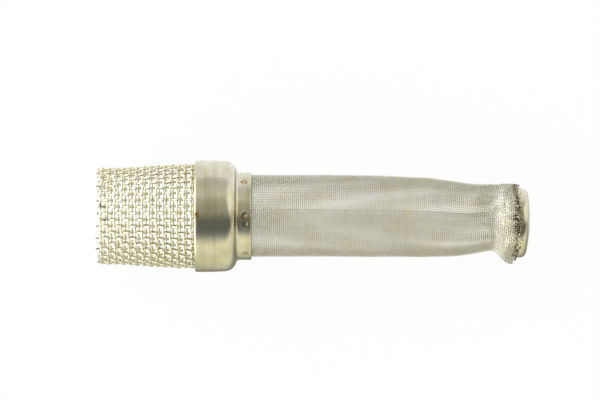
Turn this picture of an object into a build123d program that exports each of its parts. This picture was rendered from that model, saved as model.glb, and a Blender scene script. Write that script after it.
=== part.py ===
from build123d import *
import os
from math import cos, pi, radians, sin

# Transmission filter: a guard of coarse woven wire seated in a stepped collar of pressed sheet,
# and a long sleeve of fine woven wire welded into the collar's neck and closed by a pressed cap.
# Millimetres. X runs along the filter from the collar's rim to the cap, +Z is up, and the
# sleeve's ear of gathered cloth stands on the -Y side.

# Pressed sheet
sheet = 0.8  # wall of the collar and of the cap
fit_gap = 0.05  # radial room between a pressed piece and the cloth that it holds
round_step = 1.2  # a round is drawn as flats, about one for each of these of its radius

# Collar
land_length = 9.0  # straight part of the land, from the rim
collar_step = 3.75  # radial step from the neck to the land, taken up by one round shoulder
neck_length = 4.6

# Fine cloth sleeve
sleeve_diameter = 25.4
fine_cloth = 0.5  # two fine wires deep
lead_in = 1.8  # how far the sleeve reaches past the neck, towards the guard
straight_length = 41.0  # free cylindrical stretch, from the neck to where the squeeze begins
squeeze_length = 33.0
squeeze_depth = 2.4  # how much the radius drops at the waist
flare_length = 4.2  # from the waist to the cap's skirt
grip_length = 5.2  # how much of the cap's skirt the cloth covers
fold_slack = 0.7  # extra depth of folded cloth on the side away from the ear
knuckle_height = 0.15  # relief of the weave
knuckle_columns = 24
knuckle_pitch = 8.2  # along the filter, with one ring of windows in each
window_columns = 12
rib_width = 3.5  # wall left between the windows, round the sleeve
band_length = 2.5  # wall left between the rings of windows
ear_height = 1.25  # how far the gathered cloth stands off the flare
ear_place = 2.2  # past the skirt's edge

# End cap
cap_diameter = 21.3
cap_height = 7.2
cap_corner_radius = 1.9
cap_crown = 0.8  # how far the face is domed
crown_flat = 4.0  # radius of the middle of the dome
cap_drop = 2.0  # how far the cap sits off the filter's axis, towards the ear
cap_lean = -2.0  # degrees about Z

# Coarse wire guard
guard_length = 30.5  # from the collar's rim to the tips of the wires
guard_seat = 8.4  # how far the guard reaches into the collar
guard_taper = 1.15  # how much narrower the open end is than the mouth of the collar
mouth_room = 0.35  # radial room between the guard and the collar's rim
seat_band = 0.6
strand_width = 1.35
strand_thickness = 0.4
strand_bite = 0.05  # how deep crossing strands are pressed into each other
strand_columns = 18
hoop_count = 6
wire_tip = 0.8  # how far the wires stand out past the first hoop
wire_root = 0.5  # how far the wires run into the seat band

# Places along the filter and radii that follow
sleeve_radius = sleeve_diameter / 2
neck_bore = sleeve_radius + fit_gap
neck_radius = neck_bore + sheet
land_radius = neck_radius + collar_step
land_bore = land_radius - sheet
shoulder_x = land_length + collar_step
neck_end = shoulder_x + neck_length
squeeze_x = neck_end + straight_length
waist_x = squeeze_x + squeeze_length
skirt_x = waist_x + flare_length
cap_radius = cap_diameter / 2


def round_corner(centre, radius, start, sweep):
    """Points of a rounded corner, from one tangent to the other, or the corner itself."""
    if radius == 0:
        return [centre]
    flats = max(1, round(radius / round_step))
    turns = [radians(start + sweep * step / flats) for step in range(flats + 1)]
    return [(centre[0] + radius * cos(turn), centre[1] + radius * sin(turn)) for turn in turns]


# Collar, one drawn piece of sheet
def stepped_form(inset):
    """Half section of the collar's form, drawn inset from its outside down to the axis."""
    shoulder = round_corner((land_length, neck_radius), collar_step - inset, 90, -90)
    root = round_corner((shoulder_x, neck_radius), inset, 180, 90)
    return [
        (0, 0),
        (0, land_radius - inset),
        *shoulder,
        *root[1:],
        (neck_end, neck_radius - inset),
        (neck_end, 0),
    ]


with BuildPart() as collar:
    for inset, mode in ((0, Mode.ADD), (sheet, Mode.SUBTRACT)):
        with BuildSketch():
            with BuildLine():
                Polyline(*stepped_form(inset), close=True)
            make_face()
        revolve(axis=Axis.X, mode=mode)

# End cap, a shallow pressed cup that sits off the axis with its open side in the sleeve
cap_axis = Axis((skirt_x, -cap_drop, 0), (cos(radians(cap_lean)), sin(radians(cap_lean)), 0))
cap_plane = Plane(origin=cap_axis.position, x_dir=cap_axis.direction, z_dir=(0, 0, 1))
face_radius = cap_radius - cap_corner_radius


def cup_form(inset):
    """Half section of the cap's form, drawn inset from its outside down to its axis."""
    corner = (cap_height - cap_corner_radius, face_radius)
    return [
        (0, 0),
        (0, cap_radius - inset),
        *round_corner(corner, cap_corner_radius - inset, 90, -90),
        (cap_height + cap_crown - inset, crown_flat),
        (cap_height + cap_crown - inset, 0),
    ]


with BuildPart() as end_cap:
    for inset, mode in ((0, Mode.ADD), (sheet, Mode.SUBTRACT)):
        with BuildSketch(cap_plane):
            with BuildLine():
                Polyline(*cup_form(inset), close=True)
            make_face()
        revolve(axis=cap_axis, mode=mode)

# Fine cloth sleeve: a wall between a waffled outside and a plain inside, both lofted
# Squeezed stretch: share of its length, share of its depth, and sideways drift of the centre
squeeze_form = (
    (0.00, 0.00, 0.0),
    (0.25, 0.12, -0.2),
    (0.45, 0.23, -0.4),
    (0.63, 0.44, -0.8),
    (0.77, 0.70, -0.9),
    (0.89, 0.90, -0.6),
    (1.00, 1.00, -0.3),
)
sleeve_start = shoulder_x - lead_in
sleeve_end = skirt_x + grip_length
grip_radius = (cap_radius + fit_gap) / cos(pi / knuckle_columns) + fine_cloth
radius_stations = [(sleeve_start, sleeve_radius)]
centre_stations = [(sleeve_start, 0.0)]
for along, depth, drift in squeeze_form:
    station_x = squeeze_x + along * squeeze_length
    radius_stations.append((station_x, sleeve_radius - depth * squeeze_depth))
    centre_stations.append((station_x, drift))
end_drop = -cap_drop + grip_length * sin(radians(cap_lean))
radius_stations += [(skirt_x, grip_radius), (sleeve_end, grip_radius)]
centre_stations += [(skirt_x, -cap_drop), (sleeve_end, end_drop)]


def value_at(x, stations):
    """Value at x on straight lines between stations of (x, value)."""
    for (x0, value0), (x1, value1) in zip(stations, stations[1:]):
        if x <= x1:
            return value0 + (value1 - value0) * (x - x0) / (x1 - x0)
    return stations[-1][1]


def sleeve_plane(x):
    """Plane across the sleeve, with its own X towards +Y."""
    lean = radians(cap_lean) if x > waist_x else 0
    return Plane(
        origin=(x, value_at(x, centre_stations), 0),
        x_dir=(-sin(lean), cos(lean), 0),
        z_dir=(cos(lean), sin(lean), 0),
    )


def section(reach):
    """Corners of a section, where reach(column, turn) is a corner's distance from the centre."""
    corners = []
    for column in range(knuckle_columns):
        turn = 2 * pi * column / knuckle_columns
        distance = reach(column, turn)
        corners.append((distance * cos(turn), distance * sin(turn)))
    return corners


def outside(row, x):
    """Corners of the outside: every other row and column of knuckles lies lower."""

    def reach(column, turn):
        distance = value_at(x, radius_stations) - knuckle_height * (row % 2)
        distance -= knuckle_height * (column % 2)
        if x >= skirt_x:
            distance += fold_slack * (1 + cos(turn)) / 2
        if x == ear_x and column == knuckle_columns // 2:
            distance += ear_height
        return distance

    return section(reach)


def inside(x):
    """Corners of the inside."""
    return section(lambda column, turn: value_at(x, radius_stations) - fine_cloth)


knuckle_rows = round((waist_x - neck_end) / knuckle_pitch)
row_pitch = (waist_x - neck_end) / knuckle_rows
ear_x = skirt_x + ear_place
free_rows = [neck_end + row * row_pitch for row in range(knuckle_rows + 1)]
row_places = [sleeve_start, *free_rows, skirt_x, ear_x, sleeve_end]

with BuildPart() as fine_mesh_sleeve:
    for row, x in enumerate(row_places):
        with BuildSketch(sleeve_plane(x)):
            with BuildLine():
                Polyline(*outside(row, x), close=True)
            make_face()
    loft(ruled=True)
    for x in (sleeve_start, *free_rows, skirt_x, sleeve_end):
        with BuildSketch(sleeve_plane(x)):
            with BuildLine():
                Polyline(*inside(x), close=True)
            make_face()
    loft(ruled=True, mode=Mode.SUBTRACT)
    # Windows that stand for the open cells of the cloth
    window_width = 2 * pi * sleeve_radius / window_columns - rib_width
    window_form = [
        (sleeve_radius * share, side * share * window_width / 2)
        for share, side in ((0.5, -1), (1.5, -1), (1.5, 1), (0.5, 1))
    ]
    with BuildSketch(*[sleeve_plane(x + band_length / 2) for x in free_rows[:-1]]):
        with PolarLocations(0, window_columns, start_angle=180 / knuckle_columns):
            Polygon(*window_form, align=None)
    extrude(amount=row_pitch - band_length, mode=Mode.SUBTRACT)


# Coarse wire guard, hoops with the lengthwise strands woven over and under them
def guard_middle(x):
    """Radius of the middle of the guard's wall."""
    outside_radius = land_bore - mouth_room + guard_taper * x / guard_length
    return outside_radius - strand_thickness * 3 / 2 + strand_bite


hoop_start = wire_tip + strand_width / 2 - guard_length
hoop_pitch = -hoop_start / hoop_count
hoop_places = [hoop_start + hoop * hoop_pitch for hoop in range(hoop_count)]
swing = strand_thickness - strand_bite
seat_radius = land_bore - fit_gap
band_middle = seat_radius * cos(pi / strand_columns) - seat_band / 2


def strand_form(side):
    """Section of a lengthwise strand that starts on the given side of the first hoop."""
    middle = [(-guard_length, guard_middle(-guard_length) + side * swing)]
    for x in hoop_places:
        for edge_x in (x - strand_width / 2, x + strand_width / 2):
            middle.append((edge_x, guard_middle(x) + side * swing))
        side = -side
    middle.append((wire_root, band_middle))
    top = [(x, radius + strand_thickness / 2) for x, radius in middle]
    bottom = [(x, radius - strand_thickness / 2) for x, radius in middle]
    return top + bottom[::-1]


def strand_plane(column):
    """Plane through the axis and a lengthwise strand, with its own Y outwards."""
    turn = 2 * pi * column / strand_columns
    return Plane(origin=(0, 0, 0), x_dir=(1, 0, 0), z_dir=(0, -sin(turn), cos(turn)))


def flat_sided(reach, mode=Mode.ADD):
    """Polygon with a flat side at this reach under each lengthwise strand."""
    half_side = 180 / strand_columns
    RegularPolygon(reach, strand_columns, major_radius=False, rotation=half_side, mode=mode)


with BuildPart() as coarse_mesh_guard:
    bands = [(x - strand_width / 2, strand_width, guard_middle(x), strand_thickness) for x in hoop_places]
    bands.append((0, guard_seat, band_middle, seat_band))
    for start, width, middle, thickness in bands:
        with BuildSketch(Plane.YZ.offset(start)):
            flat_sided(middle + thickness / 2)
            flat_sided(middle - thickness / 2, Mode.SUBTRACT)
        extrude(amount=width)
    for first, side in ((0, 1), (1, -1)):
        with BuildSketch(*[strand_plane(column) for column in range(first, strand_columns, 2)]):
            with BuildLine():
                Polyline(*strand_form(side), close=True)
            make_face()
        extrude(amount=strand_width / 2, both=True)

os.makedirs("parts", exist_ok=True)
for name, piece in (
    ("collar", collar),
    ("coarse_mesh_guard", coarse_mesh_guard),
    ("fine_mesh_sleeve", fine_mesh_sleeve),
    ("end_cap", end_cap),
):
    piece.part.label = name
    export_step(piece.part, f"parts/{name}.step")
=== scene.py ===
"""Studio picture of a transmission filter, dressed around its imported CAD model.

A guard of coarse woven wire stands in a stepped collar of pressed stainless sheet. A long
sleeve of fine woven wire is spot welded into the collar's neck and closed by a pressed cap.
Blender's unit is the metre. Sizes below are millimetres, turned to metres by MM.
"""

from math import atan2, cos, exp, pi, radians, sin, sqrt

import bmesh
import bpy
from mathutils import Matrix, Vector, noise


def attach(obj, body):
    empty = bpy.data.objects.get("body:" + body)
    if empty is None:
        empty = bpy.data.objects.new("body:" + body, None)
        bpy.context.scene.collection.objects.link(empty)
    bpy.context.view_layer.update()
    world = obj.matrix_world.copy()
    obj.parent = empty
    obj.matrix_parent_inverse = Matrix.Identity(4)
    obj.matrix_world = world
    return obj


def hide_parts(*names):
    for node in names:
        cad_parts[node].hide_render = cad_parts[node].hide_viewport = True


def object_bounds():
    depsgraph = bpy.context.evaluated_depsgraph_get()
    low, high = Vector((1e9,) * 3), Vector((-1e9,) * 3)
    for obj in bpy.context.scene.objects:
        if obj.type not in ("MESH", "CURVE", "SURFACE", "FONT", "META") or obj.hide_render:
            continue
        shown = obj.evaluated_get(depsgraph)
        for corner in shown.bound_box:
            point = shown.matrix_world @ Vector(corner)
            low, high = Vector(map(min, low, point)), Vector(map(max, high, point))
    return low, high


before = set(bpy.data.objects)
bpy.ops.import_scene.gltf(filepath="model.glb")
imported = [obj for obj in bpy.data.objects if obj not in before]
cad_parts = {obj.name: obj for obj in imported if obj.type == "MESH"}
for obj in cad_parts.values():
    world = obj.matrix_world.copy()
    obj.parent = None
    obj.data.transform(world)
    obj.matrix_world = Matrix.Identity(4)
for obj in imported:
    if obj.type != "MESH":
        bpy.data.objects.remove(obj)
cad_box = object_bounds()

MM = 0.001

# Where the photograph's frame lies: its middle, its width and how far off the camera is
VIEW_MIDDLE = (32.4, 5.0)
VIEW_WIDTH = 186.0
CAMERA_HEIGHT = 1300.0

# Collar
SHEET = 0.8
LAND_RADIUS = 17.3
LAND_LENGTH = 9.0
NECK_RADIUS = 13.55
SHOULDER_RADIUS = LAND_RADIUS - NECK_RADIUS
NECK_START = LAND_LENGTH + SHOULDER_RADIUS
NECK_END = 17.35
LAND_CROWN = 0.2  # how much the land falls away towards the shoulder
CROWN_START = 3.0
RIM_ROLL = 3.0  # outside rounding of the rim, where the sheet was rolled in
RIM_TURN = 15.0  # degrees that it turns in by
EDGE_ROUND = 0.3  # rounding left on the neck's cut edge by tumbling
ROOT_FILLET = 1.0
ROOT_SHADE_AT = 12.5  # where painted shade darkens the crease at the root of the shoulder
COLLAR_SEGMENTS = 400

# Spot welds round the neck: place along the axis, degrees from +Y towards +Z
WELDS = (
    (15.2, 38.7),
    (15.3, 89.3),
    (15.6, 100.3),
    (15.35, 147.3),
    (15.2, 207.0),
    (15.3, 268.0),
    (15.3, 327.0),
)
WELD_RADIUS = 1.05

# Brown stains on the collar: place along the axis, degrees from +Y towards +Z, radius, strength
COLLAR_STAINS = (
    (0.7, 87.5, 0.7, 0.5),
    (0.9, 91.0, 0.7, 0.4),
    (4.9, 81.7, 1.1, 0.2),
    (8.2, 62.0, 1.6, 0.1),
    (3.1, 118.0, 1.4, 0.1),
)

# Brown stains on the guard's wires: their middle, and their radius across the wires
WIRE_STAINS = (
    ((-28.8, 9.0, 11.2), 1.0),
    ((-28.4, 3.4, 14.1), 1.1),
    ((-27.2, -0.6, 14.5), 0.9),
    ((-30.0, -9.5, 10.8), 0.8),
    ((-29.5, 11.9, -8.0), 1.0),
)

# Cap
CAP_RADIUS = 10.65
CAP_SKIRT_X = 95.55
CAP_HEIGHT = 7.2
CAP_CORNER = 1.9
CAP_CROWN = 0.8
CAP_DROP = 2.0
CAP_LEAN = -2.0
CAP_SEGMENTS = 192

# Coarse cloth of the guard, 12 mesh
COARSE_WIRE = 0.56
COARSE_PITCH = 2.145
COARSE_WARPS = 46
COARSE_WEFTS = 18
GUARD_START = -30.4
GUARD_END = 8.3
FIRST_HOOP = -28.86
# x, radius of the middle of the cloth
GUARD_FORM = (
    (-30.4, 14.40),
    (-23.4, 14.61),
    (-17.2, 14.92),
    (-11.0, 15.29),
    (-4.8, 15.56),
    (-0.5, 15.66),
    (2.5, 15.82),
    (8.3, 15.84),
)

# Fine cloth of the sleeve, 40 mesh
FINE_WIRE = 0.24
FINE_PITCH = 0.635
FINE_WARPS = 128
SLEEVE_START = 11.2
SLEEVE_END = 101.3
BURNT_START = 98.1  # where the welding of the cap has burnt the cloth
SEAM_ANGLE = 80.0  # degrees from +Y towards +Z, where the cloth's two edges meet
SEAM_GAP = -2.6  # in pitches: the cloth's edges lap over each other by this much
SLEEVE_LEAN = 0.034  # how far the crosswise wires lean back from the seam, on both sides
# x, radius of the middle of the cloth, y of its centre
SLEEVE_FORM = (
    (11.2, 12.45, 0.00),
    (20.0, 12.47, 0.10),
    (40.0, 12.48, 0.15),
    (48.5, 12.44, 0.05),
    (58.0, 12.36, -0.05),
    (63.5, 12.25, -0.15),
    (69.0, 12.14, -0.32),
    (72.8, 12.02, -0.40),
    (76.5, 11.74, -0.65),
    (80.3, 11.42, -0.84),
    (84.0, 10.90, -0.92),
    (87.7, 10.42, -0.75),
    (91.8, 10.12, -0.30),
    (93.6, 10.35, -0.60),
    (95.3, 11.05, -1.12),
    (96.9, 11.42, -1.50),
    (98.8, 11.45, -1.60),
    (101.3, 11.30, -1.68),
)
# x, height of the ear of gathered cloth
EAR_FORM = ((92.8, 0.0), (94.2, 0.35), (96.4, 0.75), (98.4, 1.25), (99.3, 1.35), (100.2, 0.9), (101.0, 0.3), (101.3, 0.1))
EAR_WIDTH = 13.0  # degrees each side of -Y
# How much shorter the cloth was cut on the +Y side, at the top, on the -Y side and below
EDGE_CUT = (1.1, 0.0, 1.9, 0.7)


def linear(colour):
    """Linear value of an sRGB hex colour such as "#d8d4c2"."""
    parts = [int(colour[place : place + 2], 16) / 255 for place in (1, 3, 5)]
    return (*[part / 12.92 if part <= 0.04045 else ((part + 0.055) / 1.055) ** 2.4 for part in parts], 1)


def add(tree, kind, *values, out=0, **settings):
    """Adds a node with its settings, feeds its inputs in order, and returns one of its outputs."""
    node = tree.nodes.new(kind)
    for name, value in settings.items():
        setattr(node, name, value)
    sockets = [socket for socket in node.inputs if socket.enabled]
    for socket, value in zip(sockets, values):
        if isinstance(value, bpy.types.NodeSocket):
            tree.links.new(value, socket)
        elif value is not None:
            socket.default_value = value
    return [socket for socket in node.outputs if socket.enabled][out]


def eased(stations, x):
    """Values at x on a smooth curve through stations of (x, values...)."""
    if x <= stations[0][0]:
        return stations[0][1:]
    if x >= stations[-1][0]:
        return stations[-1][1:]
    place = next(i for i in range(1, len(stations)) if x <= stations[i][0])
    four = [stations[min(max(i, 0), len(stations) - 1)] for i in range(place - 2, place + 2)]
    (x0, *a), (x1, *b), (x2, *c), (x3, *d) = four
    t = (x - x1) / (x2 - x1)
    values = []
    for v0, v1, v2, v3 in zip(a, b, c, d):
        m1 = (v2 - v0) / (x2 - x0) * (x2 - x1) if x2 > x0 else 0
        m2 = (v3 - v1) / (x3 - x1) * (x2 - x1) if x3 > x1 else 0
        h = (2 * t**3 - 3 * t**2 + 1) * v1 + (t**3 - 2 * t**2 + t) * m1
        values.append(h + (-2 * t**3 + 3 * t**2) * v2 + (t**3 - t**2) * m2)
    return values


def piece_from(name, mesh, material=None):
    """A new object at the origin for this mesh."""
    piece = bpy.data.objects.new(name, mesh)
    bpy.context.scene.collection.objects.link(piece)
    if material:
        mesh.materials.append(material)
    return piece


# Materials
def metal(name):
    """A new metal material, its node tree and its shader."""
    material = bpy.data.materials.new(name)
    material.use_nodes = True
    shader = material.node_tree.nodes["Principled BSDF"]
    shader.inputs["Metallic"].default_value = 1.0
    return material, material.node_tree, shader


def stainless_sheet():
    """Deep drawn stainless sheet, tumbled: the eye sees soft mirror bands with fine lines round
    the piece, a pale olive cast, and brown rings where the spot welds burnt it."""
    material, tree, shader = metal("deep_drawn_stainless_sheet")
    place = add(tree, "ShaderNodeTexCoord", out=3)
    # Drawing lines run round the axis, so they vary along X and hardly round it
    fine = add(tree, "ShaderNodeMapping", place, None, None, (2600.0, 60.0, 60.0))
    lines = add(tree, "ShaderNodeTexNoise", fine, 1.0, 4.0, 0.55)
    broad = add(tree, "ShaderNodeMapping", place, None, None, (520.0, 34.0, 34.0))
    bands = add(tree, "ShaderNodeTexNoise", broad, 1.0, 3.0, 0.6)
    clouds = add(tree, "ShaderNodeTexNoise", place, 170.0, 5.0, 0.65)
    share = add(tree, "ShaderNodeMapRange", clouds, 0.36, 0.66, 0.0, 1.0)
    colour = add(tree, "ShaderNodeMix", share, linear("#eae8d8"), linear("#d9d3b8"), data_type="RGBA")
    band_share = add(tree, "ShaderNodeMapRange", bands, 0.44, 0.72, 0.0, 0.4)
    colour = add(tree, "ShaderNodeMix", band_share, colour, linear("#b3ab8e"), data_type="RGBA")
    # Heat tint: straw, then brown where it was hottest
    heat = add(tree, "ShaderNodeAttribute", out=2, attribute_name="browned")
    straw_share = add(tree, "ShaderNodeMapRange", heat, 0.05, 0.45, 0.0, 1.0)
    colour = add(tree, "ShaderNodeMix", straw_share, colour, linear("#ab8a5a"), data_type="RGBA")
    brown_share = add(tree, "ShaderNodeMapRange", heat, 0.45, 0.9, 0.0, 1.0)
    colour = add(tree, "ShaderNodeMix", brown_share, colour, linear("#553c26"), data_type="RGBA")
    # Painted shade: the crease between the shoulder and the neck is darkened
    along = add(tree, "ShaderNodeSeparateXYZ", place)
    off_root = add(tree, "ShaderNodeMath", along, MM * ROOT_SHADE_AT, operation="SUBTRACT")
    off_root = add(tree, "ShaderNodeMath", off_root, operation="ABSOLUTE")
    root_shade = add(tree, "ShaderNodeMapRange", off_root, 0.00012, 0.00042, 0.7, 0.0)
    colour = add(tree, "ShaderNodeMix", root_shade, colour, linear("#6f6850"), data_type="RGBA")
    tree.links.new(colour, shader.inputs["Base Color"])
    rough = add(tree, "ShaderNodeMapRange", bands, 0.3, 0.7, 0.11, 0.2)
    rough = add(tree, "ShaderNodeMath", heat, 0.25, rough, operation="MULTIPLY_ADD")
    tree.links.new(rough, shader.inputs["Roughness"])
    relief = add(tree, "ShaderNodeMath", lines, 0.6, operation="MULTIPLY")
    relief = add(tree, "ShaderNodeMath", bands, 0.4, relief, operation="MULTIPLY_ADD")
    bump = add(tree, "ShaderNodeBump", 0.22, 0.00004, None, relief)
    tree.links.new(bump, shader.inputs["Normal"])
    return material


def drawn_wire(name, crown_colour, shaded_crossing_colour, patch_size):
    """Bright drawn stainless wire, woven: each wire keeps its bright metal on its outer bends, and
    carries painted shade where another wire passes over it and on the inside of the cloth, varied in random patches."""
    material, tree, shader = metal(name)
    place = add(tree, "ShaderNodeTexCoord", out=3)
    crown = add(tree, "ShaderNodeAttribute", out=2, attribute_name="crown")
    patches = add(tree, "ShaderNodeTexNoise", place, 1000.0 / patch_size, 4.0, 0.6)
    # Painted shade: the crossing colour darkens each wire where it dips under another, mixed with random patches
    shade_and_wear = add(tree, "ShaderNodeMath", patches, 1.2, crown, operation="MULTIPLY_ADD")
    share = add(tree, "ShaderNodeMapRange", shade_and_wear, -0.4, 1.2, 0.0, 1.0)
    colour = add(tree, "ShaderNodeMix", share, linear(shaded_crossing_colour), linear(crown_colour), data_type="RGBA")
    yellowed = add(tree, "ShaderNodeTexNoise", place, 130.0, 3.0, 0.5)
    yellow_share = add(tree, "ShaderNodeMapRange", yellowed, 0.45, 0.75, 0.0, 0.5)
    colour = add(tree, "ShaderNodeMix", yellow_share, colour, linear("#e6dcb0"), data_type="RGBA")
    return material, tree, shader, place, colour


def coarse_wire():
    """The guard's wire, with a few brown stains at its open end."""
    material, tree, shader, place, colour = drawn_wire("drawn_stainless_wire_coarse", "#fffff4", "#d8d1aa", 3.0)
    stained = 0.0
    for centre, radius in WIRE_STAINS:
        offset = add(tree, "ShaderNodeVectorMath", place, MM * Vector(centre), operation="SUBTRACT")
        offset = add(tree, "ShaderNodeVectorMath", offset, (0.5, 1.0, 1.0), operation="MULTIPLY")
        distance = add(tree, "ShaderNodeVectorMath", offset, operation="LENGTH")
        spot = add(tree, "ShaderNodeMapRange", distance, 0.4 * radius * MM, radius * MM, 0.9, 0.0)
        stained = add(tree, "ShaderNodeMath", stained, spot, operation="MAXIMUM")
    colour = add(tree, "ShaderNodeMix", stained, colour, linear("#5d4526"), data_type="RGBA")
    tree.links.new(colour, shader.inputs["Base Color"])
    rough = add(tree, "ShaderNodeMapRange", stained, 0.0, 1.0, 0.36, 0.5)
    tree.links.new(rough, shader.inputs["Roughness"])
    return material


def fine_wire():
    """The sleeve's wire, burnt brown and black along the edge that the cap was welded to."""
    material, tree, shader, place, colour = drawn_wire("drawn_stainless_wire_fine", "#ffffff", "#c9c3a2", 2.0)
    burnt = burnt_share(tree, place, BURNT_START)
    colour = add(tree, "ShaderNodeMix", burnt, colour, burnt_colour(tree, place), data_type="RGBA")
    tree.links.new(colour, shader.inputs["Base Color"])
    rough = add(tree, "ShaderNodeMapRange", burnt, 0.0, 1.0, 0.36, 0.5)
    tree.links.new(rough, shader.inputs["Roughness"])
    return material


def burnt_share(tree, place, start):
    """How burnt the metal is, from 0 to 1, with a ragged border at this distance along X."""
    along = add(tree, "ShaderNodeSeparateXYZ", place)
    ragged = add(tree, "ShaderNodeTexNoise", place, 900.0, 3.0, 0.6)
    along = add(tree, "ShaderNodeMath", ragged, 0.0026, along, operation="MULTIPLY_ADD")
    edge = MM * (start + 1.3)
    return add(tree, "ShaderNodeMapRange", along, edge - 0.0004, edge + 0.0006, 0.0, 0.94)


def burnt_colour(tree, place):
    """Scale on burnt stainless steel: black and brown, with specks that stayed bright."""
    specks = add(tree, "ShaderNodeTexNoise", place, 2300.0, 2.0, 0.6)
    dark = add(tree, "ShaderNodeMapRange", specks, 0.38, 0.58, 0.0, 1.0)
    colour = add(tree, "ShaderNodeMix", dark, linear("#2c2212"), linear("#96835c"), data_type="RGBA")
    bright = add(tree, "ShaderNodeMapRange", specks, 0.52, 0.6, 0.0, 1.0)
    return add(tree, "ShaderNodeMix", bright, colour, linear("#fffbea"), data_type="RGBA")


def weld_scale():
    """Beads of fused wire along the burnt edge, rough and blackened, with bright specks."""
    material, tree, shader = metal("fused_stainless_weld_beads")
    place = add(tree, "ShaderNodeTexCoord", out=3)
    tree.links.new(burnt_colour(tree, place), shader.inputs["Base Color"])
    pits = add(tree, "ShaderNodeTexNoise", place, 3000.0, 3.0, 0.6)
    rough = add(tree, "ShaderNodeMapRange", pits, 0.3, 0.7, 0.25, 0.6)
    tree.links.new(rough, shader.inputs["Roughness"])
    bump = add(tree, "ShaderNodeBump", 0.4, 0.00005, None, pits)
    tree.links.new(bump, shader.inputs["Normal"])
    return material


# Pieces turned on an axis
def arc(centre, radius, start, end, steps):
    """Points of an arc, from one angle to another in degrees."""
    turns = [radians(start + (end - start) * step / steps) for step in range(steps + 1)]
    return [(centre[0] + radius * cos(turn), centre[1] + radius * sin(turn)) for turn in turns]


def divided(profile, longest):
    """The same profile, with its long runs divided."""
    points = [profile[0]]
    for (x0, r0), (x1, r1) in zip(profile, profile[1:]):
        parts = max(1, round(sqrt((x1 - x0) ** 2 + (r1 - r0) ** 2) / longest))
        points += [(x0 + (x1 - x0) * n / parts, r0 + (r1 - r0) * n / parts) for n in range(1, parts + 1)]
    return points


def turned(name, profile, segments, closed, material, origin=(0.0, 0.0), lean=0.0, dent=None, heat=None):
    """Turns a profile of (distance along the axis, radius) round an axis that leans about Z."""
    form = bmesh.new()
    rings, heats = [], []
    for x, radius in profile:
        ring = []
        for segment in range(1 if radius < 1e-6 else segments):
            turn = 2 * pi * segment / segments
            reach = radius + (dent(x, radius, turn) if dent else 0)
            y = reach * cos(turn)
            place = (
                origin[0] + x * cos(lean) - y * sin(lean),
                origin[1] + x * sin(lean) + y * cos(lean),
                reach * sin(turn),
            )
            ring.append(form.verts.new(MM * Vector(place)))
            heats.append(heat(x, radius, turn) if heat else 0.0)
        rings.append(ring)
    pairs = list(zip(rings, rings[1:] + rings[:1] if closed else rings[1:]))
    for a, b in pairs:
        for n in range(segments):
            corners = [a[n % len(a)], a[(n + 1) % len(a)], b[(n + 1) % len(b)], b[n % len(b)]]
            corners = list(dict.fromkeys(corners))
            if len(corners) > 2:
                form.faces.new(corners)
    bmesh.ops.recalc_face_normals(form, faces=form.faces)
    mesh = bpy.data.meshes.new(name)
    form.to_mesh(mesh)
    form.free()
    mesh.attributes.new("browned", "FLOAT", "POINT").data.foreach_set("value", heats)
    mesh.shade_smooth()
    return piece_from(name, mesh, material)


def turn_between(a, b):
    """Smallest turn from b to a, in radians."""
    return (a - b + pi) % (2 * pi) - pi


def apart(x, radius, turn, place, angle):
    """Distance over the surface from a place along the axis and an angle in degrees."""
    return sqrt((x - place) ** 2 + (turn_between(turn, radians(angle)) * radius) ** 2)


def roughly(x, turn, size, amount, seed=0.0):
    """Uneven amount, from minus to plus, with patches of this size in millimetres."""
    around = 15.0 / size
    return amount * noise.noise(Vector((x / size + seed, around * cos(turn), around * sin(turn) + seed)))


def weld_relief(x, radius, turn):
    """Height of the spot welds' craters on the neck's outside."""
    if radius < NECK_RADIUS - 0.02 or x < NECK_START + 0.2:
        return 0
    height = 0
    for place, angle in WELDS:
        distance = apart(x, radius, turn, place, angle) / WELD_RADIUS
        if distance < 2:
            distance += roughly(x, turn, 1.2, 0.12, place)
            height += 0.035 * exp(-(((distance - 0.95) / 0.3) ** 2)) - 0.07 * exp(-((distance / 0.7) ** 2))
            height += roughly(x, turn, 0.3, 0.03, angle) * exp(-(distance**2))
    return height


def collar_heat(x, radius, turn):
    """How brown the collar is: rings round the spot welds, and old stains."""
    if radius < NECK_RADIUS - 0.02:
        return 0
    heat = 0
    if x > NECK_START:
        for place, angle in WELDS:
            distance = apart(x, radius, turn, place, angle) / WELD_RADIUS
            if distance < 2.5:
                distance += roughly(x, turn, 0.9, 0.3, place)
                ring = exp(-(((distance - 0.72) / 0.26) ** 2))
                heat += (0.4 + roughly(x, turn, 0.45, 1.1, angle)) * ring
                heat += 0.14 * exp(-((distance / 1.3) ** 2))
    for place, angle, size, strength in COLLAR_STAINS:
        distance = apart(x, radius, turn, place, angle) / size
        if distance < 2:
            heat += strength * (1 + roughly(x, turn, 0.5, 1.2, angle)) * exp(-(distance**2))
    return min(max(heat, 0), 1)


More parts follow.
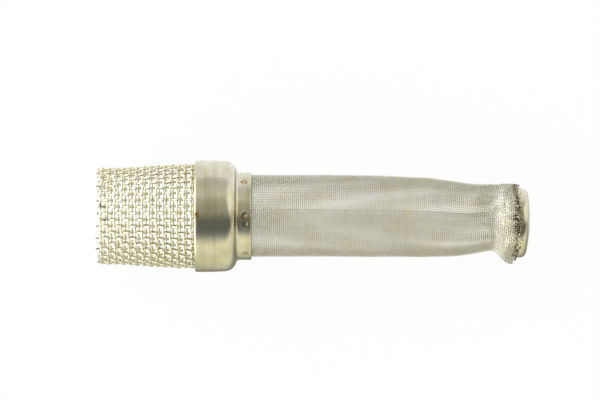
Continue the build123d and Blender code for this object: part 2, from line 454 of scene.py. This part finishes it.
def collar_profile():
    """The collar's sheet, from the rim along the outside and back along the inside."""
    middle = (LAND_LENGTH, NECK_RADIUS)
    fillet_x = LAND_LENGTH + sqrt((SHOULDER_RADIUS + ROOT_FILLET) ** 2 - ROOT_FILLET**2)
    touch = atan2(ROOT_FILLET, fillet_x - LAND_LENGTH) * 180 / pi
    bore = NECK_RADIUS - SHEET
    inside = LAND_RADIUS - SHEET
    roll_x = 0.08 + RIM_ROLL * sin(radians(RIM_TURN))
    roll = arc((roll_x, LAND_RADIUS - RIM_ROLL), RIM_ROLL, 90 + RIM_TURN, 90, 6)
    land = divided([(roll_x + 0.2, LAND_RADIUS), (LAND_LENGTH - 0.1, LAND_RADIUS)], 0.25)
    # The shoulder starts a little inside the land's size, where its crown ends
    share = (SHOULDER_RADIUS - LAND_CROWN) / SHOULDER_RADIUS
    shoulder = [(x, NECK_RADIUS + (r - NECK_RADIUS) * share) for x, r in arc(middle, SHOULDER_RADIUS, 90, touch, 22)]
    return [
        (0.0, inside + 0.1),
        (0.0, roll[0][1] - 0.1),
        *roll,
        *[(x, r - LAND_CROWN * (max(x - CROWN_START, 0) / (LAND_LENGTH - CROWN_START)) ** 2) for x, r in land],
        *shoulder,
        *arc((fillet_x, NECK_RADIUS + ROOT_FILLET), ROOT_FILLET, 180 + touch, 270, 5),
        *divided([(fillet_x + 0.15, NECK_RADIUS), (NECK_END - EDGE_ROUND, NECK_RADIUS)], 0.17),
        *arc((NECK_END - EDGE_ROUND, NECK_RADIUS - EDGE_ROUND), EDGE_ROUND, 80, 0, 4),
        (NECK_END, bore + 0.1),
        (NECK_END - 0.1, bore),
        *arc((NECK_START, NECK_RADIUS), SHEET, 270, 180, 6),
        *arc(middle, SHOULDER_RADIUS - SHEET, 4, 90, 14),
        (0.1, inside),
    ]


def cap_profile():
    """The cap's sheet, from the middle of its face along the outside and back along the inside."""
    face = CAP_RADIUS - CAP_CORNER
    top = CAP_HEIGHT + CAP_CROWN
    dome = (face**2 + CAP_CROWN**2) / (2 * CAP_CROWN)

    def domed(inset):
        steps = 12
        radii = [face * n / steps for n in range(steps + 1)]
        return [(top - dome + sqrt(dome**2 - radius**2) - inset, radius) for radius in radii]

    corner = (CAP_HEIGHT - CAP_CORNER, face)
    return [
        *domed(0),
        *arc(corner, CAP_CORNER, 8, 90, 10),
        (0.2, CAP_RADIUS),
        (0.0, CAP_RADIUS - 0.2),
        (0.0, CAP_RADIUS - SHEET),
        *arc(corner, CAP_CORNER - SHEET, 90, 8, 6),
        *domed(SHEET)[::-1],
    ]


# Guide surfaces, the middle of each cloth, mapped from 0 to 1 round it and along it
def guide_surface(name, form, start, end, seam, shift, columns, rows):
    mesh = bpy.data.meshes.new(name)
    points, maps = [], []
    for row in range(rows + 1):
        x = start + (end - start) * row / rows
        radius, *centre = eased(form, x)
        middle = centre[0] if centre else 0.0
        for column in range(columns + 1):
            turn = radians(seam + 360 * column / columns)
            out, back = shift(x, turn)
            reach = radius + out
            points.append(MM * Vector((x - back, middle + reach * cos(turn), reach * sin(turn))))
            maps.append((column / columns, row / rows, 0.0))
    width = columns + 1
    faces = [
        (n, n + 1, n + width + 1, n + width)
        for row in range(rows)
        for n in range(row * width, row * width + columns)
    ]
    mesh.from_pydata(points, [], faces)
    cloth_map = mesh.attributes.new("cloth_map", "FLOAT_VECTOR", "POINT")
    cloth_map.data.foreach_set("vector", [part for place in maps for part in place])
    outward = mesh.attributes.new("outward", "FLOAT_VECTOR", "POINT")
    normals = []
    for vertex, place in zip(mesh.vertices, points):
        normal = vertex.normal
        away = Vector((0, place.y, place.z))
        normals += list(normal if normal.dot(away) > 0 else -normal)
    outward.data.foreach_set("vector", normals)
    return piece_from(name, mesh)


def bump_at(value, middle, width):
    """A smooth bump of height 1 at the middle."""
    return exp(-(((value - middle) / width) ** 2))


def guard_shift(x, turn):
    """Waviness of the guard, and the crumpled place at its open end."""
    wave = noise.noise(Vector((x / 9, 2.2 * cos(turn), 2.2 * sin(turn)))) * 0.24
    crumple = bump_at(x, -27.2, 3.0) * bump_at(turn_between(turn, radians(47)), 0, 0.22)
    return wave - 1.0 * crumple, 1.1 * crumple * noise.noise(Vector((x / 2, 9 * turn, 3.0)))


def ear_height(x):
    """How far the gathered cloth stands out on the -Y side."""
    return eased(EAR_FORM, x)[0]


def sleeve_shift(x, turn):
    """Waviness, the pleats that take up the slack at the cap, the ear and the slanting cut."""
    wave = noise.noise(Vector((x / 12, 2.0 * cos(turn), 2.0 * sin(turn)))) * 0.12
    slack = min(max((x - 82) / 8, 0), 1) * min(max((97 - x) / 4, 0.0), 1)
    pleats = noise.noise(Vector((x / 16 + 7, 5.5 * cos(turn), 5.5 * sin(turn)))) * 0.5 * slack
    beside = turn_between(turn, pi)
    gather = ear_height(x) * bump_at(beside, 0, radians(EAR_WIDTH))
    # The gathered cloth lies in small folds
    folds = 1 + 0.35 * cos(beside * 30) * min(max((x - 94) / 3, 0), 1)
    toward_y, toward_z = cos(turn), sin(turn)
    cut = EDGE_CUT[0] * max(toward_y, 0) ** 2 + EDGE_CUT[2] * max(-toward_y, 0) ** 2
    cut += EDGE_CUT[1] * max(toward_z, 0) ** 2 + EDGE_CUT[3] * max(-toward_z, 0) ** 2
    return wave + pleats + gather * folds, cut * min(max((x - 88) / 13.3, 0), 1) ** 2


# Woven cloth on a guide surface
def woven_cloth():
    tree = bpy.data.node_groups.new("woven_cloth", "GeometryNodeTree")
    sockets = {}
    for name, kind in (
        ("Surface", "NodeSocketGeometry"),
        ("Warps", "NodeSocketInt"),
        ("Wefts", "NodeSocketInt"),
        ("Steps", "NodeSocketInt"),
        ("Sides", "NodeSocketInt"),
        ("Wire diameter", "NodeSocketFloat"),
        ("Seam gap", "NodeSocketFloat"),
        ("First weft", "NodeSocketFloat"),
        ("Weft pitch", "NodeSocketFloat"),
        ("Lean", "NodeSocketFloat"),
        ("Stub", "NodeSocketFloat"),
        ("Wander", "NodeSocketFloat"),
        ("Wander scale", "NodeSocketFloat"),
        ("Fray", "NodeSocketFloat"),
        ("Fray start", "NodeSocketFloat"),
        ("Seed", "NodeSocketInt"),
        ("Lengthwise wires", "NodeSocketBool"),
        ("Crosswise wires", "NodeSocketBool"),
        ("Material", "NodeSocketMaterial"),
    ):
        sockets[name] = tree.interface.new_socket(name, in_out="INPUT", socket_type=kind).identifier
    tree.interface.new_socket("Cloth", in_out="OUTPUT", socket_type="NodeSocketGeometry")
    given = tree.nodes.new("NodeGroupInput").outputs

    def maths(operation, *values):
        return add(tree, "ShaderNodeMath", *values, operation=operation)

    def vectors(operation, *values):
        return add(tree, "ShaderNodeVectorMath", *values, operation=operation)

    cloth_map = add(tree, "GeometryNodeInputNamedAttribute", "cloth_map", data_type="FLOAT_VECTOR")
    outward = add(tree, "GeometryNodeInputNamedAttribute", "outward", data_type="FLOAT_VECTOR")
    position = add(tree, "GeometryNodeInputPosition")
    along = add(tree, "GeometryNodeSplineParameter", out=2)
    radius = maths("MULTIPLY", given["Wire diameter"], 0.5)
    sets = []
    for lengthwise in (True, False):
        wires = given["Warps" if lengthwise else "Wefts"]
        crossings = given["Wefts" if lengthwise else "Warps"]
        if lengthwise:
            points = maths("MULTIPLY_ADD", maths("SUBTRACT", crossings, 1.0), given["Steps"], 3.0)
        else:
            points = maths("MULTIPLY", crossings, given["Steps"])
        line = add(tree, "GeometryNodeCurvePrimitiveLine", (0, 0, 0), (1, 0, 0))
        line = add(tree, "GeometryNodeResampleCurve", line, True, points)
        copies = add(tree, "GeometryNodeDuplicateElements", line, True, wires, domain="SPLINE")
        wire = copies.node.outputs["Duplicate Index"]
        if lengthwise:
            # The first and the last point are the wire's cut ends, past the outermost crossings
            spread = add(tree, "FunctionNodeRandomValue", 0.65, 1.15, wire, given["Seed"], data_type="FLOAT")
            stub = maths("MULTIPLY", given["Stub"], spread)
            extra = maths("SUBTRACT", stub, maths("DIVIDE", 1.0, given["Steps"]))
            first = add(tree, "GeometryNodeCurveEndpointSelection", 1, 0)
            last = add(tree, "GeometryNodeCurveEndpointSelection", 0, 1)
            step = maths("DIVIDE", maths("SUBTRACT", along, 1.0), given["Steps"])
            step = maths("SUBTRACT", step, maths("MULTIPLY", first, extra))
            step = maths("MULTIPLY_ADD", last, extra, step)
            warp, weft = wire, step
        else:
            step = maths("DIVIDE", along, given["Steps"])
            warp, weft = step, wire
        around = maths("DIVIDE", maths("ADD", warp, 0.5), maths("ADD", given["Warps"], given["Seam gap"]))
        around = maths("WRAP", around, 1.0, 0.0)
        from_seam = maths("MINIMUM", around, maths("SUBTRACT", 1.0, around))
        far = maths("MULTIPLY_ADD", weft, given["Weft pitch"], given["First weft"])
        far = maths("MULTIPLY_ADD", from_seam, given["Lean"], far)
        far = maths("MINIMUM", maths("MAXIMUM", far, 0.0001), 0.9999)
        where = add(tree, "ShaderNodeCombineXYZ", around, far, 0.0)
        sample = ("GeometryNodeSampleUVSurface", given["Surface"])
        middle = add(tree, *sample, position, cloth_map, where, data_type="FLOAT_VECTOR")
        normal = add(tree, *sample, outward, cloth_map, where, data_type="FLOAT_VECTOR")
        phase = maths("MULTIPLY", maths("ADD", warp, weft), pi if lengthwise else -pi)
        crown = maths("MULTIPLY", maths("COSINE", phase), 1.0 if lengthwise else -1.0)
        swing = maths("MULTIPLY", crown, radius)
        place = vectors("ADD", middle, vectors("SCALE", normal, swing))
        drift = add(tree, "ShaderNodeTexNoise", middle, given["Wander scale"], 2.0, 0.5, out=1)
        drift = vectors("SCALE", vectors("SUBTRACT", drift, (0.5, 0.5, 0.5)), given["Wander"])
        place = vectors("ADD", place, drift)
        frayed = add(tree, "ShaderNodeMapRange", far, given["Fray start"], 1.0, 0.0, given["Fray"])
        loose = add(
            tree, "FunctionNodeRandomValue", (-1, -1, -1), (1, 1, 1), None, given["Seed"], data_type="FLOAT_VECTOR"
        )
        place = vectors("ADD", place, vectors("SCALE", loose, frayed))
        curves = add(tree, "GeometryNodeSetPosition", copies, None, place)
        if not lengthwise:
            curves = add(tree, "GeometryNodeSetSplineCyclic", curves, None, True)
        curves = add(tree, "GeometryNodeStoreNamedAttribute", curves, None, "crown", crown, data_type="FLOAT")
        profile = add(tree, "GeometryNodeCurvePrimitiveCircle", given["Sides"], radius)
        mesh = add(tree, "GeometryNodeCurveToMesh", curves, profile, None, True)
        wanted = given["Lengthwise wires" if lengthwise else "Crosswise wires"]
        sets.append(add(tree, "GeometryNodeSwitch", wanted, None, mesh, input_type="GEOMETRY"))
    join = tree.nodes.new("GeometryNodeJoinGeometry")
    for part in sets:
        tree.links.new(part, join.inputs[0])
    smooth = add(tree, "GeometryNodeSetShadeSmooth", join.outputs[0], None, True)
    real = add(tree, "GeometryNodeRealizeInstances", smooth)
    done = add(tree, "GeometryNodeSetMaterial", real, None, given["Material"])
    tree.links.new(done, tree.nodes.new("NodeGroupOutput").inputs[0])
    return tree, sockets


def weld_beads():
    """Beads of fused metal and stubs of burnt wire, scattered along the end of a surface."""
    tree = bpy.data.node_groups.new("weld_beads", "GeometryNodeTree")
    sockets = {}
    for name, kind in (
        ("Surface", "NodeSocketGeometry"),
        ("Start", "NodeSocketFloat"),
        ("Beads per area", "NodeSocketFloat"),
        ("Stubs per area", "NodeSocketFloat"),
        ("Bead radius", "NodeSocketFloat"),
        ("Stub radius", "NodeSocketFloat"),
        ("Stub length", "NodeSocketFloat"),
        ("Seed", "NodeSocketInt"),
        ("Material", "NodeSocketMaterial"),
    ):
        sockets[name] = tree.interface.new_socket(name, in_out="INPUT", socket_type=kind).identifier
    tree.interface.new_socket("Beads", in_out="OUTPUT", socket_type="NodeSocketGeometry")
    given = tree.nodes.new("NodeGroupInput").outputs

    position = add(tree, "GeometryNodeInputPosition")
    along = add(tree, "ShaderNodeSeparateXYZ", position)
    ragged = add(tree, "ShaderNodeTexNoise", position, 700.0, 2.0, 0.5)
    along = add(tree, "ShaderNodeMath", ragged, 0.0018, along, operation="MULTIPLY_ADD")
    near_edge = add(tree, "FunctionNodeCompare", along, given["Start"], data_type="FLOAT", operation="GREATER_THAN")
    sets = []
    for kind, density, form in (
        ("bead", given["Beads per area"], add(tree, "GeometryNodeMeshIcoSphere", given["Bead radius"], 2)),
        ("stub", given["Stubs per area"], add(tree, "GeometryNodeMeshCylinder", 5, 1, 1, given["Stub radius"], given["Stub length"])),
    ):
        points = add(tree, "GeometryNodeDistributePointsOnFaces", given["Surface"], near_edge, density, given["Seed"])
        whole_turn = add(tree, "FunctionNodeRandomValue", (0, 0, 0), (6.28, 6.28, 6.28), None, given["Seed"], data_type="FLOAT_VECTOR")
        size = add(tree, "FunctionNodeRandomValue", (0.35, 0.35, 0.35), (1.2, 1.0, 1.1), None, given["Seed"], data_type="FLOAT_VECTOR")
        copies = add(tree, "GeometryNodeInstanceOnPoints", points, None, form, None, None, whole_turn, size)
        sets.append(copies)
    join = tree.nodes.new("GeometryNodeJoinGeometry")
    for part in sets:
        tree.links.new(part, join.inputs[0])
    real = add(tree, "GeometryNodeRealizeInstances", join.outputs[0])
    smooth = add(tree, "GeometryNodeSetShadeSmooth", real, None, True)
    done = add(tree, "GeometryNodeSetMaterial", smooth, None, given["Material"])
    tree.links.new(done, tree.nodes.new("NodeGroupOutput").inputs[0])
    return tree, sockets


def made_on(name, guide, tree, sockets, **sizes):
    """A plain mesh piece that a node tree makes on a guide surface."""
    modifier = guide.modifiers.new("cloth", "NODES")
    modifier.node_group = tree
    for size, value in sizes.items():
        modifier[sockets[size.replace("_", " ").capitalize()]] = value
    bpy.context.view_layer.update()
    evaluated = guide.evaluated_get(bpy.context.evaluated_depsgraph_get())
    mesh = bpy.data.meshes.new_from_object(evaluated)
    guide.modifiers.remove(modifier)
    mesh.name = name
    return piece_from(name, mesh)


sheet_metal = stainless_sheet()
coarse_metal = coarse_wire()
fine_metal = fine_wire()

collar = turned(
    "pressed_collar", collar_profile(), COLLAR_SEGMENTS, True, sheet_metal, dent=weld_relief, heat=collar_heat
)
cap = turned(
    "pressed_cap",
    cap_profile(),
    CAP_SEGMENTS,
    False,
    sheet_metal,
    origin=(CAP_SKIRT_X, -CAP_DROP),
    lean=radians(CAP_LEAN),
)

cloth, sockets = woven_cloth()
guard_guide = guide_surface("guard_guide", GUARD_FORM, GUARD_START, GUARD_END, 200.0, guard_shift, 92, 90)
guard_span = GUARD_END - GUARD_START
guard = made_on(
    "coarse_cloth",
    guard_guide,
    cloth,
    sockets,
    warps=COARSE_WARPS,
    wefts=COARSE_WEFTS,
    steps=4,
    sides=6,
    wire_diameter=COARSE_WIRE * MM,
    seam_gap=0.0,
    first_weft=(FIRST_HOOP - GUARD_START) / guard_span,
    weft_pitch=COARSE_PITCH / guard_span,
    lean=0.0,
    stub=0.62,
    wander=0.5 * MM,
    wander_scale=170.0,
    fray=0.0,
    fray_start=0.9,
    seed=3,
    lengthwise_wires=True,
    crosswise_wires=True,
    material=coarse_metal,
)

sleeve_span = SLEEVE_END - SLEEVE_START
fine_wefts = int(sleeve_span / FINE_PITCH)
sleeve_guide = guide_surface("sleeve_guide", SLEEVE_FORM, SLEEVE_START, SLEEVE_END, SEAM_ANGLE, sleeve_shift, 180, 240)
fine_sizes = dict(
    warps=FINE_WARPS,
    wefts=fine_wefts,
    steps=1,
    sides=4,
    wire_diameter=FINE_WIRE * MM,
    seam_gap=SEAM_GAP,
    first_weft=0.4 * FINE_PITCH / sleeve_span,
    weft_pitch=FINE_PITCH / sleeve_span,
    lean=-SLEEVE_LEAN * 2 * pi * 12.5 / sleeve_span,
    stub=0.4,
    wander=0.04 * MM,
    wander_scale=220.0,
    fray=0.16 * MM,
    fray_start=0.965,
    seed=5,
    material=fine_metal,
)
fine_warps = made_on(
    "fine_cloth_lengthwise", sleeve_guide, cloth, sockets, lengthwise_wires=True, crosswise_wires=False, **fine_sizes
)
fine_hoops = made_on(
    "fine_cloth_crosswise", sleeve_guide, cloth, sockets, lengthwise_wires=False, crosswise_wires=True, **fine_sizes
)
beads, bead_sockets = weld_beads()
burnt_edge = made_on(
    "burnt_edge",
    sleeve_guide,
    beads,
    bead_sockets,
    start=(BURNT_START + 1.6) * MM,
    beads_per_area=2.2e6,
    stubs_per_area=2.4e6,
    bead_radius=0.21 * MM,
    stub_radius=0.11 * MM,
    stub_length=0.9 * MM,
    seed=11,
    material=weld_scale(),
)
for guide in (guard_guide, sleeve_guide):
    bpy.data.objects.remove(guide)

for piece, node, slot in (
    (collar, "collar", "pressed_steel"),
    (cap, "end_cap", "pressed_steel"),
    (guard, "coarse_mesh_guard", "coarse_wire"),
    (fine_warps, "fine_mesh_sleeve", "fine_wire"),
    (fine_hoops, "fine_mesh_sleeve", "fine_wire"),
    (burnt_edge, "fine_mesh_sleeve", "fine_wire"),
):
    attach(piece, "root")
    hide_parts(node)


def fill_ramp(ramp, colours, first, span):
    """Sets a colour ramp from pairs of (value, hex colour)."""
    stops = ramp.node.color_ramp.elements
    ramp.node.color_ramp.interpolation = "EASE"
    while len(stops) > 1:
        stops.remove(stops[-1])
    for number, (value, colour) in enumerate(colours):
        stop = stops[0] if number == 0 else stops.new((value - first) / span)
        stop.position = (value - first) / span
        stop.color = linear(colour)


# Floor, near white; the camera sees mostly its own paleness, and the metal sees only its glow, which carries painted
# shade
floor_mesh = bpy.data.meshes.new("floor")
reach = 1.5
floor_z = cad_box[0][2] - 0.00002
floor_mesh.from_pydata(
    [(-reach, -reach, floor_z), (reach, -reach, floor_z), (reach, reach, floor_z), (-reach, reach, floor_z)],
    [],
    [(0, 1, 2, 3)],
)
floor_material = bpy.data.materials.new("pale_studio_floor")
floor_material.use_nodes = True
floor_tree = floor_material.node_tree
floor_tree.nodes.clear()
light_path = add(floor_tree, "ShaderNodeLightPath")
camera_share = add(floor_tree, "ShaderNodeMath", light_path.node.outputs["Is Camera Ray"], 0.95, operation="MULTIPLY")
# Painted shadow: the glow that the metal sees is darker on the object's -Y side, where its own shadow lies, and
# whitest a little towards +Y
PAINTED_FLOOR_SHADE = (
    (-300, "#e9e7cf"),
    (-140, "#eeebd0"),
    (-85, "#ebe8cc"),
    (-55, "#dbdac4"),
    (-38, "#c9c9b9"),
    (-26, "#959588"),
    (-12, "#a9a99e"),
    (4, "#e2e2dc"),
    (26, "#ffffff"),
    (60, "#f6f6f2"),
    (240, "#efefe8"),
)
floor_place = add(floor_tree, "ShaderNodeTexCoord", out=3)
floor_place = add(floor_tree, "ShaderNodeSeparateXYZ", floor_place, out=1)
floor_share = add(floor_tree, "ShaderNodeMapRange", floor_place, -0.3, 0.3, 0.0, 1.0)
floor_ramp = add(floor_tree, "ShaderNodeValToRGB", floor_share)
fill_ramp(floor_ramp, PAINTED_FLOOR_SHADE, -300, 600)
glow_colour = add(floor_tree, "ShaderNodeMix", light_path, floor_ramp, (1, 1, 1, 1), data_type="RGBA")
share = add(floor_tree, "ShaderNodeMath", camera_share, light_path.node.outputs["Is Glossy Ray"], operation="ADD")
matt = add(floor_tree, "ShaderNodeBsdfDiffuse", linear("#f8f8f6"))
glow = add(floor_tree, "ShaderNodeEmission", glow_colour, 1.0)
mixed = add(floor_tree, "ShaderNodeMixShader", share, matt, glow)
floor_tree.links.new(mixed, floor_tree.nodes.new("ShaderNodeOutputMaterial").inputs[0])
floor = piece_from("floor", floor_mesh, floor_material)

# Studio light: a soft room whose brightness changes with the angle round the filter's axis
# degrees from straight up, towards +Y, and the room's colour there
ROOM = (
    (-180, "#b4b2a4"),
    (-126, "#d4d1bd"),
    (-100, "#e6e3cd"),
    (-64, "#f7f2d6"),
    (-57, "#eae6cf"),
    (-48, "#b8b9ae"),
    (-40, "#848782"),
    (-30, "#646864"),
    (-12, "#686966"),
    (-4, "#7a786d"),
    (4, "#93907f"),
    (12, "#a3a08f"),
    (30, "#b0ad9d"),
    (46, "#cbcabb"),
    (60, "#c8c7b9"),
    (75, "#c4c3b8"),
    (84, "#d2d2ca"),
    (94, "#f0f1ea"),
    (180, "#ffffff"),
)
LEFT_LAMP = 2.5
world = bpy.data.worlds.new("studio")
bpy.context.scene.world = world
world.use_nodes = True
room = world.node_tree
room.nodes.clear()
direction = add(room, "ShaderNodeTexCoord")
across = add(room, "ShaderNodeSeparateXYZ", direction, out=1)
up = across.node.outputs[2]
angle = add(room, "ShaderNodeMath", across, up, operation="ARCTAN2")
turn_share = add(room, "ShaderNodeMapRange", angle, -pi, pi, 0.0, 1.0)
ramp = add(room, "ShaderNodeValToRGB", turn_share)
fill_ramp(ramp, ROOM, -180, 360)
# The dark part overhead ends late on the +X side
right_share = add(room, "ShaderNodeMapRange", across.node.outputs[0], 0.84, 0.98, 0.0, 0.85)
room_colour = add(room, "ShaderNodeMix", right_share, ramp, linear("#c0bda6"), data_type="RGBA")
# A soft lamp to the right and above, seen as the cream highlight on the shoulder
toward_lamp = add(room, "ShaderNodeVectorMath", direction, (0.79, 0.48, 0.38), operation="DOT_PRODUCT")
lamp_share = add(room, "ShaderNodeMapRange", toward_lamp, 0.84, 0.97, 0.0, 1.0)
room_colour = add(room, "ShaderNodeMix", lamp_share, room_colour, linear("#fffbe4"), data_type="RGBA")
# A large soft lamp on the -X side, which the wires catch and the collar hardly does
left_share = add(room, "ShaderNodeMapRange", across.node.outputs[0], -0.15, -0.5, 0.0, 1.0)
room_colour = add(room, "ShaderNodeMix", left_share, room_colour, linear("#fdfff4"), data_type="RGBA")
strength = add(room, "ShaderNodeMapRange", left_share, 0.0, 1.0, 1.0, LEFT_LAMP)
lit = add(room, "ShaderNodeBackground", room_colour, strength)
white = add(room, "ShaderNodeBackground", (1, 1, 1, 1), 1.0)
seen = add(room, "ShaderNodeLightPath")
sky = add(room, "ShaderNodeMixShader", seen, lit, white)
room.links.new(sky, room.nodes.new("ShaderNodeOutputWorld").inputs[0])

camera_data = bpy.data.cameras.new("camera")
camera_data.sensor_width = 36.0
camera_data.lens = 36.0 * CAMERA_HEIGHT / VIEW_WIDTH
camera_data.clip_start = 0.01
camera_data.clip_end = 20.0
camera = bpy.data.objects.new("camera", camera_data)
camera.location = MM * Vector((*VIEW_MIDDLE, CAMERA_HEIGHT))
bpy.context.scene.collection.objects.link(camera)
bpy.context.scene.camera = camera
bpy.context.scene.view_settings.view_transform = "Standard"
